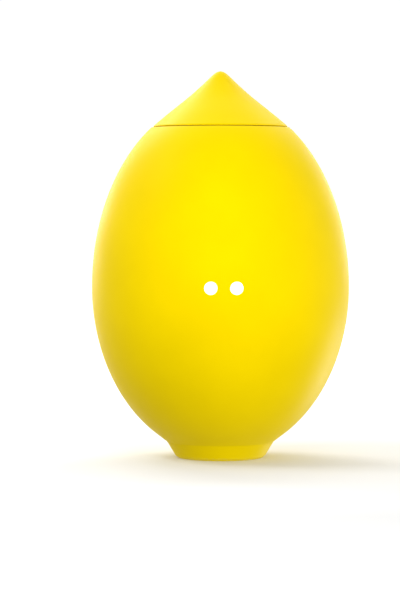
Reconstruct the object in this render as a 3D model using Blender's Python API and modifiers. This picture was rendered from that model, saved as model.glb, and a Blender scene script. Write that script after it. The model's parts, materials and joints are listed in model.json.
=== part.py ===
"""A lemon-shaped light-up egg shaker, standing on its foot. Run it in Blender 4.5.

The body is two half shells that meet on the plane Y = 0 and are screwed together from behind. The pointed
cap screws into a one-piece neck ring. Under the cap is the rattle chamber, with loose steel shot on a dished
floor. Under that floor are a circuit board with two lamps behind two round windows, a spring switch that
senses the shaking, and three button cells above a turn-lock door in the foot.
The front, with the windows, faces -Y. The origin is at the middle of the foot's underside, and +Z is up.
"""

import math

import bmesh
import bpy
from mathutils import Matrix, Vector

MM = 0.001  # every size below is in millimetres, and the helpers turn it into Blender's metres
GAP = 0.3  # running or seating gap between neighbouring pieces

# Body: two half-ellipses of one radius, above and below the widest point
BODY_RADIUS = 30.0
WIDEST_Z = 39.8
UPPER_SEMI_AXIS = 44.0
LOWER_SEMI_AXIS = 39.5
WALL = 2.0
PARTING_GAP = 0.3
RING_STEPS = 28  # faces round the large turned pieces

# Foot
FOOT_RADIUS = 10.55
FOOT_TOP_RADIUS = 12.5
FOOT_TOP_Z = 3.7
FOOT_EDGE_WIDTH = 0.7
FOOT_EDGE_HEIGHT = 0.5
DOOR_BORE_RADIUS = 8.3
DOOR_BORE_TOP_Z = 2.4
HOLDER_BORE_RADIUS = 9.0
BOTTOM_RING_TOP_Z = 4.6

# Neck and cap
RIM_Z = 76.9
SEAM_GAP = 0.35
TIP_Z = 90.0
NECK_BORE_RADIUS = 12.7
NECK_WALL = 2.2
NECK_BOTTOM_Z = 66.6
NECK_GROOVE_DEPTH = 1.1
NECK_GROOVE_Z = (69.9, 71.5)
RING_BORE_RADIUS = 10.8
RING_TOP_Z = 75.7
SKIRT_RADIUS = 9.9
SKIRT_BORE_RADIUS = 8.2
SKIRT_BOTTOM_Z = 68.5
CAP_SEAT_Z = RIM_Z + SEAM_GAP
# (radius, height) points on the cap's outline: nearly straight sides, a hollow near the top, a small nose
CAP_OUTLINE = [
    (15.85, CAP_SEAT_Z),
    (12.2, 80.1),
    (7.4, 83.95),
    (4.3, 86.7),
    (2.0, 88.9),
    (0.9, 89.75),
    (0.0, TIP_Z),
]
CAP_HOLLOW = [(SKIRT_BORE_RADIUS, 80.3), (3.2, 84.0), (0.0, 86.4)]
CAP_DISC_Z = (69.0, 70.4)
GASKET_RADII = (10.65, 12.2)
CAP_THREAD_LEAD = 12.0
CAP_THREAD_STARTS = 3
CAP_THREAD_RIDGE = 0.6
CAP_THREAD_Z = (69.6, 73.6)

# Rattle chamber
LEDGE_Z = (47.2, 48.8)
LEDGE_RADIUS = 25.0
FLOOR_RADIUS = 26.7
FLOOR_DISH_RADIUS = 24.5
FLOOR_THICKNESS = 1.6
FLOOR_CENTRE_Z = 47.4
DISH_CURVATURE_RADIUS = 90.0
SHOT_RADIUS = 2.5
SHOT_PITCH = 5.35
SHOT_RINGS = 2
SHOT_LIFT = 0.15

# Screws that join the shells: (x, z) of each, and half the gap between its two pillars
SHELL_SCREWS = {
    "shell_screw_upper_left": (-18.5, 60.0, PARTING_GAP / 2),
    "shell_screw_upper_right": (18.5, 60.0, PARTING_GAP / 2),
    "shell_screw_lower_left": (-13.5, 16.0, 0.9),
    "shell_screw_lower_right": (13.5, 16.0, 0.9),
}
SCREW_SHANK_RADIUS = 1.15
SCREW_HEAD_RADIUS = 2.2
SCREW_HEAD_HEIGHT = 1.5
SCREW_SEAT_Y = 5.0
SCREW_TIP_Y = -7.0
FRONT_PILLAR_RADIUS = 3.0
REAR_PILLAR_RADIUS = 3.8
BOARD_PILLAR_RADIUS = 2.4
COUNTERBORE_RADIUS = 2.6
SCREW_PILOT_RADIUS = 1.45
SCREW_CLEARANCE_RADIUS = 1.5
BOARD_HOLE_RADIUS = 1.0
BOARD_PILOT_DEPTH = 4.0
WALL_CORE_INSET = 0.8  # how far inside the body's surface the pillars end

# Lamps, windows and circuit board
LAMP_X = 2.88
LAMP_Z = 40.5
WINDOW_RADIUS = 1.4
WINDOW_HOLE_RADIUS = 1.5
WINDOW_HOLE_Y = (-20.0, -35.0)
WINDOW_FLANGE_RADIUS = 2.3
WINDOW_FLANGE_THICKNESS = 0.6
WINDOW_FLANGE_OFF_BOARD = 6.3
WINDOW_INSET = 0.05  # how far a window's face lies inside the body's surface
LAMP_RADIUS = 1.45
LAMP_FLANGE_RADIUS = 1.75
LAMP_FLANGE_THICKNESS = 1.0
LAMP_DOME_START = 3.6
BOARD_FRONT_Y = -20.9
BOARD_THICKNESS = 1.6
BOARD_WIDTH = 26.0
BOARD_HEIGHT = 16.0
BOARD_Z = 37.5
BOARD_SCREW_X = 9.5
BOARD_SCREW_Z = 33.5
BOARD_REAR_Y = BOARD_FRONT_Y + BOARD_THICKNESS
BOARD_SCREW = {"shank_radius": 0.7, "shank_length": 4.6, "head_radius": 1.9, "head_height": 1.2}
CHIP_X = (5.5, 10.5)
CHIP_Z = (38.0, 42.0)
CHIP_HEIGHT = 1.4
CAPACITOR_X = -8.0
CAPACITOR_Z = 40.5
CAPACITOR_RADIUS = 2.0
CAPACITOR_HEIGHT = 5.4

# Spring switch
SWITCH_Y = -16.0
SWITCH_BASE_X = (-3.0, 3.0)
SWITCH_BASE_REAR_Y = -13.6
SWITCH_BASE_Z = (30.2, 33.2)
SWITCH_PIN_RADIUS = 0.4
SWITCH_PIN_TOP_Z = 43.5
SWITCH_COIL_TURNS = 6
SWITCH_COIL_RADIUS = 1.55
SWITCH_WIRE_RADIUS = 0.22
SWITCH_COIL_Z = (33.75, 42.6)

# Battery pack
CELL_RADIUS = 5.8
CELL_HEIGHT = 5.4
CELL_BOTTOM_Z = 7.0
CELL_COUNT = 3
HOLDER_BORE = 6.3
HOLDER_RADIUS = 7.8
HOLDER_COLLAR_RADIUS = 8.7
HOLDER_BOTTOM_Z = 2.8
HOLDER_STEP_Z = 6.6
HOLDER_CEILING_Z = 27.9
HOLDER_TOP_Z = 29.1
EAR_Z = (12.6, 19.4)
EAR_REACH = 17.0
EAR_THICKNESS = 1.2
EAR_OVERLAP = 0.6
CONTACT_GROOVE_DEPTH = 1.0
CONTACT_GROOVE_HALF_WIDTH = 1.5
CONTACT_SLOT_Z = (20.2, 26.6)

# Contacts: a tapered spring over the cells, and a strip up their side with a foot and a tab
SPRING_WIRE_RADIUS = 0.3
SPRING_TOP_COIL_RADIUS = 4.4
SPRING_BOTTOM_COIL_RADIUS = 2.2
SPRING_TURNS = 2.5
STRIP_X = (6.6, 7.0)
STRIP_Y = (-1.0, 1.0)
STRIP_Z = (6.8, 25.0)
STRIP_FOOT_X = (5.95, 6.8)
STRIP_TAB_X = (6.8, 8.6)
STRIP_THICKNESS = 0.4

# Battery door: its lugs sit above a notched ledge in the holder, and drop through the notches once turned
DOOR_HEAD_RADIUS = 8.0
DOOR_HEAD_Z = (0.4, 1.8)
DOOR_PLUG_RADIUS = 5.9
DOOR_TOP_Z = 6.0
DOOR_LUG_REACH = 6.8
DOOR_LUG_WIDTH = 2.4
DOOR_LUG_Z = (4.8, 5.7)
LOCK_BORE = 7.2
LOCK_LEDGE_BORE = 6.3
LOCK_LEDGE_Z = (3.3, 4.5)
LOCK_ANGLES = (90.0, 210.0, 330.0)
UNLOCK_TURN = 60.0
COIN_SLOT_HALF_LENGTH = 5.5
COIN_SLOT_HALF_WIDTH = 0.9
COIN_SLOT_DEPTH = 1.0
DOOR_CONTACT_RADIUS = 6.1
DOOR_CONTACT_Z = (6.25, 6.55)
DOOR_GASKET_RADII = (7.0, 7.9)

# Wires, each as the points that it passes through
WIRE_RADIUS = 0.6
WIRE_FACE_Y = BOARD_REAR_Y + 1.0
RED_ROUTE = [
    (9.3, 0.0, 25.6),
    (10.4, -3.0, 27.5),
    (10.2, -9.0, 29.5),
    (9.0, -14.5, 29.8),
    (6.6, WIRE_FACE_Y, 31.2),
]
BLACK_ROUTE = [
    (0.0, 0.0, 30.1),
    (-2.6, -2.4, 30.9),
    (-6.2, -7.6, 31.4),
    (-7.4, -13.2, 30.4),
    (-6.4, WIRE_FACE_Y, 31.2),
]

YELLOW = ("satin_yellow_plastic", (0.98, 0.80, 0.0), 0.42, 0.0)
WHITE = ("opal_white_plastic", (0.95, 0.95, 0.93), 0.35, 0.0)
GREY_PLASTIC = ("grey_plastic", (0.55, 0.56, 0.58), 0.5, 0.0)
BLACK_PLASTIC = ("black_plastic", (0.03, 0.03, 0.03), 0.45, 0.0)
BOARD_GREEN = ("green_board", (0.03, 0.22, 0.09), 0.4, 0.0)
RUBBER = ("black_rubber", (0.04, 0.04, 0.04), 0.8, 0.0)
STEEL = ("bright_steel", (0.75, 0.76, 0.78), 0.22, 1.0)
BRASS = ("brass", (0.78, 0.60, 0.25), 0.3, 1.0)
CELL_STEEL = ("cell_steel", (0.62, 0.63, 0.66), 0.3, 1.0)
LAMP_RESIN = ("lamp_resin", (0.9, 0.93, 0.95), 0.1, 0.0)
RED_WIRE = ("red_insulation", (0.65, 0.02, 0.02), 0.5, 0.0)
BLACK_WIRE = ("black_insulation", (0.03, 0.03, 0.03), 0.5, 0.0)


# ---------------------------------------------------------------- helpers


def clear_scene():
    for obj in list(bpy.data.objects):
        bpy.data.objects.remove(obj, do_unlink=True)


def new_collection(name):
    collection = bpy.data.collections.new(name)
    bpy.context.scene.collection.children.link(collection)
    return collection


clear_scene()
PARTS = new_collection("lemon_egg_shaker")
CUTTERS = new_collection("cutters")


def material_of(finish):
    name, colour, roughness, metallic = finish
    found = bpy.data.materials.get(name)
    if found:
        return found
    made = bpy.data.materials.new(name)
    made.use_nodes = True
    shader = made.node_tree.nodes["Principled BSDF"]
    shader.inputs["Base Color"].default_value = (*colour, 1.0)
    shader.inputs["Roughness"].default_value = roughness
    shader.inputs["Metallic"].default_value = metallic
    return made


def add_object(name, data, finish=None):
    """A part if it has a finish, or a cutter or other helper if it has none."""
    obj = bpy.data.objects.new(name, data)
    if finish:
        data.materials.append(material_of(finish))
        PARTS.objects.link(obj)
    else:
        obj.hide_render = True
        obj.display_type = "WIRE"
        CUTTERS.objects.link(obj)
    return obj


def mesh_from(name, build):
    """A mesh made by build(bm), a function that fills a bmesh."""
    bm = bmesh.new()
    build(bm)
    bmesh.ops.recalc_face_normals(bm, faces=bm.faces)
    mesh = bpy.data.meshes.new(name)
    bm.to_mesh(mesh)
    bm.free()
    return mesh


def turned(name, profile, finish=None, steps=RING_STEPS, closed=False):
    """(radius, height) points turned about Z. The points run down the outer side."""
    mesh = bpy.data.meshes.new(name)
    vertices = [(radius * MM, 0.0, z * MM) for radius, z in profile]
    edges = [(i, i + 1) for i in range(len(vertices) - 1)]
    if closed:
        edges.append((len(vertices) - 1, 0))
    mesh.from_pydata(vertices, edges, [])
    obj = add_object(name, mesh, finish)
    screw = obj.modifiers.new("turn", "SCREW")
    screw.steps = screw.render_steps = steps
    screw.use_merge_vertices = True
    screw.merge_threshold = 0.00001
    return obj


def boxes(name, spans, finish=None, bevel=0.0):
    """Boxes, each as ((x0, x1), (y0, y1), (z0, z1)), in one object."""

    def build(bm):
        for span in spans:
            middle = Vector([(low + high) / 2 for low, high in span]) * MM
            size = [(high - low) * MM for low, high in span]
            matrix = Matrix.Translation(middle) @ Matrix.Diagonal((*size, 1.0))
            bmesh.ops.create_cube(bm, size=1.0, matrix=matrix)

    obj = add_object(name, mesh_from(name, build), finish)
    if bevel:
        round_edges = obj.modifiers.new("edges", "BEVEL")
        round_edges.width = bevel * MM
        round_edges.segments = 1
    return obj


def spokes(name, reach, width, heights, angles):
    """Blocks that stand out from Z, from reach[0] to reach[1], one at each angle in degrees."""

    def build(bm):
        middle = Vector((sum(reach) / 2, 0.0, sum(heights) / 2)) * MM
        size = Vector((reach[1] - reach[0], width, heights[1] - heights[0])) * MM
        block = Matrix.Translation(middle) @ Matrix.Diagonal((*size, 1.0))
        for angle in angles:
            turn = Matrix.Rotation(math.radians(angle), 4, "Z")
            bmesh.ops.create_cube(bm, size=1.0, matrix=turn @ block)

    return add_object(name, mesh_from(name, build))


def rods(name, places, finish=None, sides=16):
    """Cylinders along Y, each as (x, z, radius, y0, y1), in one object."""

    def build(bm):
        for x, z, radius, y0, y1 in places:
            turn = Matrix.Rotation(math.pi / 2, 4, "X")
            matrix = Matrix.Translation(Vector((x, (y0 + y1) / 2, z)) * MM) @ turn
            bmesh.ops.create_cone(
                bm,
                cap_ends=True,
                segments=sides,
                radius1=radius * MM,
                radius2=radius * MM,
                depth=abs(y1 - y0) * MM,
                matrix=matrix,
            )

    return add_object(name, mesh_from(name, build), finish)


def combine(obj, other, operation):
    boolean = obj.modifiers.new(other.name, "BOOLEAN")
    boolean.operation = operation
    boolean.solver = "EXACT"
    boolean.object = other
    return obj


def cut(obj, cutter):
    return combine(obj, cutter, "DIFFERENCE")


def join(obj, other):
    return combine(obj, other, "UNION")


def trim(obj, keep):
    return combine(obj, keep, "INTERSECT")


def evaluated_mesh(obj):
    """The object's shape with its modifiers or bevel, as a mesh of its own."""
    bpy.context.view_layer.update()
    graph = bpy.context.evaluated_depsgraph_get()
    return bpy.data.meshes.new_from_object(obj.evaluated_get(graph))


def wire_curve(name, points, radius, sides_step, finish=None):
    """A round wire along the points. Its section has 4 + 2 * sides_step sides."""
    curve = bpy.data.curves.new(name, "CURVE")
    curve.dimensions = "3D"
    curve.bevel_depth = radius * MM
    curve.bevel_resolution = sides_step
    curve.use_fill_caps = True
    spline = curve.splines.new("POLY")
    spline.points.add(len(points) - 1)
    for target, point in zip(spline.points, points):
        target.co = (*(Vector(point) * MM), 1.0)
    return add_object(name, curve, finish)


def wire_mesh(name, points, radius, sides_step):
    """The same wire as a closed mesh helper, which a Boolean can use."""
    source = wire_curve(name + "_line", points, radius, sides_step)
    mesh = evaluated_mesh(source)
    bpy.data.objects.remove(source, do_unlink=True)
    bm = bmesh.new()
    bm.from_mesh(mesh)
    bmesh.ops.remove_doubles(bm, verts=bm.verts, dist=0.001 * MM)
    bmesh.ops.recalc_face_normals(bm, faces=bm.faces)
    bm.to_mesh(mesh)
    bm.free()
    return add_object(name, mesh)


def helix(radius_at, z0, lead, turns, start_angle=0.0, points_per_turn=20):
    """Points of a right-handed helix about Z. radius_at(t) is its radius at t from 0 to 1."""
    count = max(2, round(turns * points_per_turn)) + 1
    points = []
    for i in range(count):
        t = i / (count - 1)
        angle = start_angle + 2 * math.pi * turns * t
        radius = radius_at(t)
        points.append((radius * math.cos(angle), radius * math.sin(angle), z0 + lead * turns * t))
    return points


def smooth_path(controls, steps):
    """A Catmull-Rom curve through the control points, which keeps both ends."""
    points = [Vector(p) for p in controls]
    padded = [2 * points[0] - points[1], *points, 2 * points[-1] - points[-2]]
    path = []
    for i in range(1, len(padded) - 2):
        a, b, c, d = padded[i - 1 : i + 3]
        for k in range(steps):
            t = k / steps
            square, cube = 2 * a - 5 * b + 4 * c - d, 3 * b - a - 3 * c + d
            path.append(0.5 * (2 * b + (c - a) * t + square * t**2 + cube * t**3))
    path.append(points[-1])
    return path


def shade_round(obj, angle=40.0):
    """Smooth shading that keeps edges sharper than the angle."""
    obj.data.shade_smooth()
    obj.data.set_sharp_from_angle(angle=math.radians(angle))


# ---------------------------------------------------------------- body shape


def height_at(radius, inset, upper):
    """The height, above or below the widest point, where the egg has this radius."""
    semi_axis = (UPPER_SEMI_AXIS if upper else LOWER_SEMI_AXIS) - inset
    reach = semi_axis * math.sqrt(1.0 - (radius / (BODY_RADIUS - inset)) ** 2)
    return WIDEST_Z + (reach if upper else -reach)


def egg_line(z_from, z_to, points, inset=0.0):
    """Points down or up the egg's side, evenly spaced round the ellipse rather than in height."""

    def angle_of(z):
        semi_axis = (UPPER_SEMI_AXIS if z > WIDEST_Z else LOWER_SEMI_AXIS) - inset
        return math.asin(max(-1.0, min(1.0, (z - WIDEST_Z) / semi_axis)))

    first, last = angle_of(z_from), angle_of(z_to)
    line = []
    for i in range(points):
        angle = first + (last - first) * i / (points - 1)
        semi_axis = (UPPER_SEMI_AXIS if angle > 0 else LOWER_SEMI_AXIS) - inset
        line.append(((BODY_RADIUS - inset) * math.cos(angle), WIDEST_Z + semi_axis * math.sin(angle)))
    return line


def shell_profile():
    """The closed section of the wall: outer side down, foot, then inner side up to the neck."""
    neck_radius = NECK_BORE_RADIUS + NECK_WALL
    groove_radius = NECK_BORE_RADIUS + NECK_GROOVE_DEPTH
    outer = egg_line(RIM_Z, FOOT_TOP_Z + 0.4, 16)
    foot = [
        (FOOT_TOP_RADIUS, FOOT_TOP_Z),
        (FOOT_RADIUS, FOOT_EDGE_HEIGHT),
        (FOOT_RADIUS - FOOT_EDGE_WIDTH, 0.0),
        (DOOR_BORE_RADIUS, 0.0),
        (DOOR_BORE_RADIUS, DOOR_BORE_TOP_Z),
        (HOLDER_BORE_RADIUS, DOOR_BORE_TOP_Z),
        (HOLDER_BORE_RADIUS, BOTTOM_RING_TOP_Z),
    ]
    lower_inside = egg_line(BOTTOM_RING_TOP_Z + 0.4, LEDGE_Z[0], 7, WALL)
    ledge = [(LEDGE_RADIUS, LEDGE_Z[0] + 0.4), (LEDGE_RADIUS, LEDGE_Z[1])]
    upper_inside = egg_line(LEDGE_Z[1], height_at(neck_radius, WALL, True), 6, WALL)
    neck = [
        (neck_radius, NECK_BOTTOM_Z),
        (NECK_BORE_RADIUS, NECK_BOTTOM_Z),
        (NECK_BORE_RADIUS, NECK_GROOVE_Z[0]),
        (groove_radius, NECK_GROOVE_Z[0]),
        (groove_radius, NECK_GROOVE_Z[1]),
        (NECK_BORE_RADIUS, NECK_GROOVE_Z[1]),
        (NECK_BORE_RADIUS, RIM_Z),
    ]
    return outer + foot + lower_inside + ledge + upper_inside + neck


def solid_egg(name, inset, z_low, z_high):
    """The egg's solid form, used to trim what ends in its wall."""
    line = egg_line(z_high, z_low, 13, inset)
    return turned(name, [(0.0, z_high), *line, (0.0, z_low)])


def half_space(name, side):
    """A block that covers one half of the body: side -1 is the front, +1 the rear."""
    near, far = side * PARTING_GAP / 2, side * (BODY_RADIUS + 5.0)
    reach = BODY_RADIUS + 5.0
    return boxes(name, [((-reach, reach), (min(near, far), max(near, far)), (-5.0, TIP_Z))])


# ---------------------------------------------------------------- shells


def front_shell(wall_core):
    shell = turned("front_shell", shell_profile(), YELLOW, closed=True)
    trim(shell, half_space("front_half", -1))
    pillars = [
        (x, z, FRONT_PILLAR_RADIUS, -gap, -BODY_RADIUS) for x, z, gap in SHELL_SCREWS.values()
    ] + [
        (side * BOARD_SCREW_X, BOARD_SCREW_Z, BOARD_PILLAR_RADIUS, BOARD_FRONT_Y - GAP, -BODY_RADIUS)
        for side in (-1, 1)
    ]
    join(shell, trim(rods("front_pillars", pillars), wall_core))
    pilots = [(x, z, SCREW_PILOT_RADIUS, 1.0, SCREW_TIP_Y - 1.0) for x, z, _ in SHELL_SCREWS.values()]
    pilot_end_y = BOARD_FRONT_Y - BOARD_PILOT_DEPTH
    pilots += [
        (side * BOARD_SCREW_X, BOARD_SCREW_Z, BOARD_HOLE_RADIUS, BOARD_FRONT_Y, pilot_end_y)
        for side in (-1, 1)
    ]
    cut(shell, rods("front_pilot_holes", pilots, sides=12))
    holes = [(side * LAMP_X, LAMP_Z, WINDOW_HOLE_RADIUS, *WINDOW_HOLE_Y) for side in (-1, 1)]
    cut(shell, rods("window_holes", holes, sides=20))


def rear_shell(wall_core):
    shell = turned("rear_shell", shell_profile(), YELLOW, closed=True)
    trim(shell, half_space("rear_half", 1))
    pillars = [
        (x, z, REAR_PILLAR_RADIUS, gap, BODY_RADIUS) for x, z, gap in SHELL_SCREWS.values()
    ]
    join(shell, trim(rods("rear_pillars", pillars), wall_core))
    wells = [
        (x, z, COUNTERBORE_RADIUS, SCREW_SEAT_Y, BODY_RADIUS + 2.0)
        for x, z, _ in SHELL_SCREWS.values()
    ]
    cut(shell, rods("screw_wells", wells))
    through = [
        (x, z, SCREW_CLEARANCE_RADIUS, -1.0, SCREW_SEAT_Y + 1.0) for x, z, _ in SHELL_SCREWS.values()
    ]
    cut(shell, rods("screw_through_holes", through, sides=12))


def crosshead_screw_mesh(name, shank_radius, shank_length, head_radius, head_height):
    """A pan-head screw along local Z, its tip at +Z, with a cross recess in its head."""
    body = turned(
        name + "_body",
        [
            (0.0, shank_length),
            (shank_radius * 0.4, shank_length),
            (shank_radius, shank_length - 1.5 * shank_radius),
            (shank_radius, 0.0),
            (head_radius, 0.0),
            (head_radius, -0.55 * head_height),
            (head_radius * 0.72, -head_height),
            (0.0, -head_height),
        ],
        steps=14,
    )
    arm, half_width = head_radius * 0.62, head_radius * 0.13
    depth = (-head_height - 1.0, -0.4 * head_height)
    cut(body, boxes(name + "_slot_x", [((-arm, arm), (-half_width, half_width), depth)]))
    cut(body, boxes(name + "_slot_y", [((-half_width, half_width), (-arm, arm), depth)]))
    mesh = evaluated_mesh(body)
    bpy.data.objects.remove(body, do_unlink=True)
    return mesh


def facing_front(obj, x, y, z):
    """Places an object so that its local +Z points to the front, -Y."""
    obj.rotation_euler = (math.pi / 2, 0.0, 0.0)
    obj.location = Vector((x, y, z)) * MM
    return obj


def shell_screws():
    seat = SCREW_SEAT_Y + GAP
    mesh = crosshead_screw_mesh(
        "shell_screw", SCREW_SHANK_RADIUS, seat - SCREW_TIP_Y, SCREW_HEAD_RADIUS, SCREW_HEAD_HEIGHT
    )
    for name, (x, z, _) in SHELL_SCREWS.items():
        facing_front(add_object(name, mesh.copy(), STEEL), x, seat, z)


# ---------------------------------------------------------------- neck and cap


def cap_thread(target, name, radius, z_offset):
    """Adds right-handed ridges on z = z_offset + lead * turns, and one pitch apart, to a turned piece."""
    z_low, z_high = CAP_THREAD_Z
    turns = (z_high - z_low) / CAP_THREAD_LEAD
    for start in range(CAP_THREAD_STARTS):
        start_turns = (z_low - z_offset) / CAP_THREAD_LEAD + start / CAP_THREAD_STARTS
        points = helix(lambda t: radius, z_low, CAP_THREAD_LEAD, turns, 2 * math.pi * start_turns)
        join(target, wire_mesh(f"{name}_{start + 1}", points, CAP_THREAD_RIDGE, 1))


def neck_ring():
    outer = NECK_BORE_RADIUS - GAP
    flange = outer + NECK_GROOVE_DEPTH
    ring = turned(
        "neck_ring",
        [
            (outer, RING_TOP_Z),
            (outer, NECK_GROOVE_Z[1] - GAP),
            (flange, NECK_GROOVE_Z[1] - GAP),
            (flange, NECK_GROOVE_Z[0] + GAP),
            (outer, NECK_GROOVE_Z[0] + GAP),
            (outer, NECK_BOTTOM_Z - GAP),
            (RING_BORE_RADIUS, NECK_BOTTOM_Z - GAP),
            (RING_BORE_RADIUS, RING_TOP_Z - 0.4),
            (RING_BORE_RADIUS + 0.4, RING_TOP_Z),
        ],
        GREY_PLASTIC,
        closed=True,
    )
    cap_thread(ring, "neck_thread", RING_BORE_RADIUS + 0.1, 0.0)


def cap():
    line = smooth_path([(radius, 0.0, z) for radius, z in CAP_OUTLINE], 2)
    outline = [(max(0.0, point.x), point.z) for point in reversed(line)]
    skirt = [
        (SKIRT_RADIUS, CAP_SEAT_Z),
        (SKIRT_RADIUS, SKIRT_BOTTOM_Z + 0.4),
        (SKIRT_RADIUS - 0.4, SKIRT_BOTTOM_Z),
        (SKIRT_BORE_RADIUS, SKIRT_BOTTOM_Z),
    ]
    body = turned("cap", outline + skirt + CAP_HOLLOW, YELLOW)
    half_pitch = CAP_THREAD_LEAD / CAP_THREAD_STARTS / 2
    cap_thread(body, "cap_thread", SKIRT_RADIUS + 0.05, half_pitch)
    disc_radius = SKIRT_BORE_RADIUS - GAP
    low, high = CAP_DISC_Z
    turned("cap_disc", [(0.0, high), (disc_radius, high), (disc_radius, low), (0.0, low)], YELLOW)
    flat_ring("cap_gasket", *GASKET_RADII, RING_TOP_Z + GAP, CAP_SEAT_Z - GAP)


def flat_ring(name, inner, outer, z_low, z_high):
    """A rubber washer."""
    section = [(outer, z_high), (outer, z_low), (inner, z_low), (inner, z_high)]
    return turned(name, section, RUBBER, closed=True)


# ---------------------------------------------------------------- rattle chamber


def dish_z(radius):
    """Height of the chamber floor's upper face."""
    return FLOOR_CENTRE_Z + radius * radius / (2 * DISH_CURVATURE_RADIUS)


def chamber_floor():
    radii = [FLOOR_DISH_RADIUS * i / 3 for i in range(4)]
    upper = [(radius, dish_z(radius)) for radius in radii]
    rim_z = upper[-1][1]
    rim = [(FLOOR_RADIUS, rim_z), (FLOOR_RADIUS, rim_z - FLOOR_THICKNESS)]
    lower = [(radius, z - FLOOR_THICKNESS) for radius, z in reversed(upper)]
    turned("chamber_floor", upper + rim + lower, GREY_PLASTIC)


def shot_places():
    """Centres of the balls: rings of a hexagonal pack, lying in the dish."""
    places = [(0.0, 0.0)]
    for ring in range(1, SHOT_RINGS + 1):
        reach = ring * SHOT_PITCH
        angles = [k * math.pi / 3 for k in range(7)]
        corners = [Vector((reach * math.cos(angle), reach * math.sin(angle))) for angle in angles]
        for start, end in zip(corners, corners[1:]):
            places += [tuple(start.lerp(end, i / ring)) for i in range(ring)]
    return [(x, y, dish_z(math.hypot(x, y)) + SHOT_RADIUS + SHOT_LIFT) for x, y in places]


def shot():
    ball = mesh_from(
        "shot_ball", lambda bm: bmesh.ops.create_icosphere(bm, subdivisions=2, radius=SHOT_RADIUS * MM)
    )
    ball.materials.append(material_of(STEEL))
    for number, place in enumerate(shot_places(), 1):
        obj = bpy.data.objects.new(f"shot_{number:02d}", ball)
        obj.location = Vector(place) * MM
        PARTS.objects.link(obj)


# ---------------------------------------------------------------- lamps and circuit


def windows_and_lamps(skin):
    for name, side in (("left", -1), ("right", 1)):
        flange_front = -BOARD_FRONT_Y + WINDOW_FLANGE_OFF_BOARD
        flange_back = flange_front - WINDOW_FLANGE_THICKNESS
        window = turned(
            f"window_{name}",
            [
                (0.0, BODY_RADIUS + 1.0),
                (WINDOW_RADIUS, BODY_RADIUS + 1.0),
                (WINDOW_RADIUS, flange_front),
                (WINDOW_FLANGE_RADIUS, flange_front),
                (WINDOW_FLANGE_RADIUS, flange_back),
                (0.0, flange_back),
            ],
            WHITE,
            steps=20,
        )
        facing_front(window, side * LAMP_X, 0.0, LAMP_Z)
        trim(window, skin)
        base = -BOARD_FRONT_Y + GAP
        flange_top = base + LAMP_FLANGE_THICKNESS
        dome = [
            (LAMP_RADIUS * math.sin(angle), base + LAMP_DOME_START + LAMP_RADIUS * math.cos(angle))
            for angle in (0.0, math.pi / 6, math.pi / 3, math.pi / 2)
        ]
        lamp = turned(
            f"lamp_{name}",
            [
                *dome,
                (LAMP_RADIUS, flange_top),
                (LAMP_FLANGE_RADIUS, flange_top),
                (LAMP_FLANGE_RADIUS, base),
                (0.0, base),
            ],
            LAMP_RESIN,
            steps=14,
        )
        facing_front(lamp, side * LAMP_X, 0.0, LAMP_Z)


def circuit_board():
    half = BOARD_WIDTH / 2
    low, high = BOARD_Z - BOARD_HEIGHT / 2, BOARD_Z + BOARD_HEIGHT / 2
    board = boxes("circuit_board", [((-half, half), (BOARD_FRONT_Y, BOARD_REAR_Y), (low, high))], BOARD_GREEN)
    holes = [
        (side * BOARD_SCREW_X, BOARD_SCREW_Z, BOARD_HOLE_RADIUS, BOARD_FRONT_Y - 1.0, BOARD_REAR_Y + 1.0)
        for side in (-1, 1)
    ]
    cut(board, rods("board_holes", holes, sides=12))
    mesh = crosshead_screw_mesh("board_screw", **BOARD_SCREW)
    for name, side in (("board_screw_left", -1), ("board_screw_right", 1)):
        screw = add_object(name, mesh.copy(), STEEL)
        facing_front(screw, side * BOARD_SCREW_X, BOARD_REAR_Y + GAP, BOARD_SCREW_Z)


def board_components():
    face = BOARD_REAR_Y + GAP
    boxes("controller_chip", [(CHIP_X, (face, face + CHIP_HEIGHT), CHIP_Z)], BLACK_PLASTIC, 0.3)
    can = (CAPACITOR_X, CAPACITOR_Z, CAPACITOR_RADIUS, face, face + CAPACITOR_HEIGHT)
    rods("capacitor", [can], CELL_STEEL)
    boxes("switch_base", [(SWITCH_BASE_X, (face, SWITCH_BASE_REAR_Y), SWITCH_BASE_Z)], BLACK_PLASTIC, 0.3)
    pin_bottom = SWITCH_BASE_Z[1] + GAP
    pin = turned(
        "switch_pin",
        [
            (0.0, SWITCH_PIN_TOP_Z),
            (SWITCH_PIN_RADIUS, SWITCH_PIN_TOP_Z - 0.2),
            (SWITCH_PIN_RADIUS, pin_bottom),
            (0.0, pin_bottom),
        ],
        BRASS,
        steps=12,
    )
    pin.location = Vector((0.0, SWITCH_Y, 0.0)) * MM
    pivot_z, top_z = SWITCH_COIL_Z
    lead = (top_z - pivot_z) / SWITCH_COIL_TURNS
    coil = helix(lambda t: SWITCH_COIL_RADIUS, 0.0, lead, SWITCH_COIL_TURNS, points_per_turn=10)
    spring = wire_curve("switch_spring", coil, SWITCH_WIRE_RADIUS, 1, STEEL)
    spring.location = Vector((0.0, SWITCH_Y, pivot_z)) * MM


# ---------------------------------------------------------------- battery pack


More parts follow.
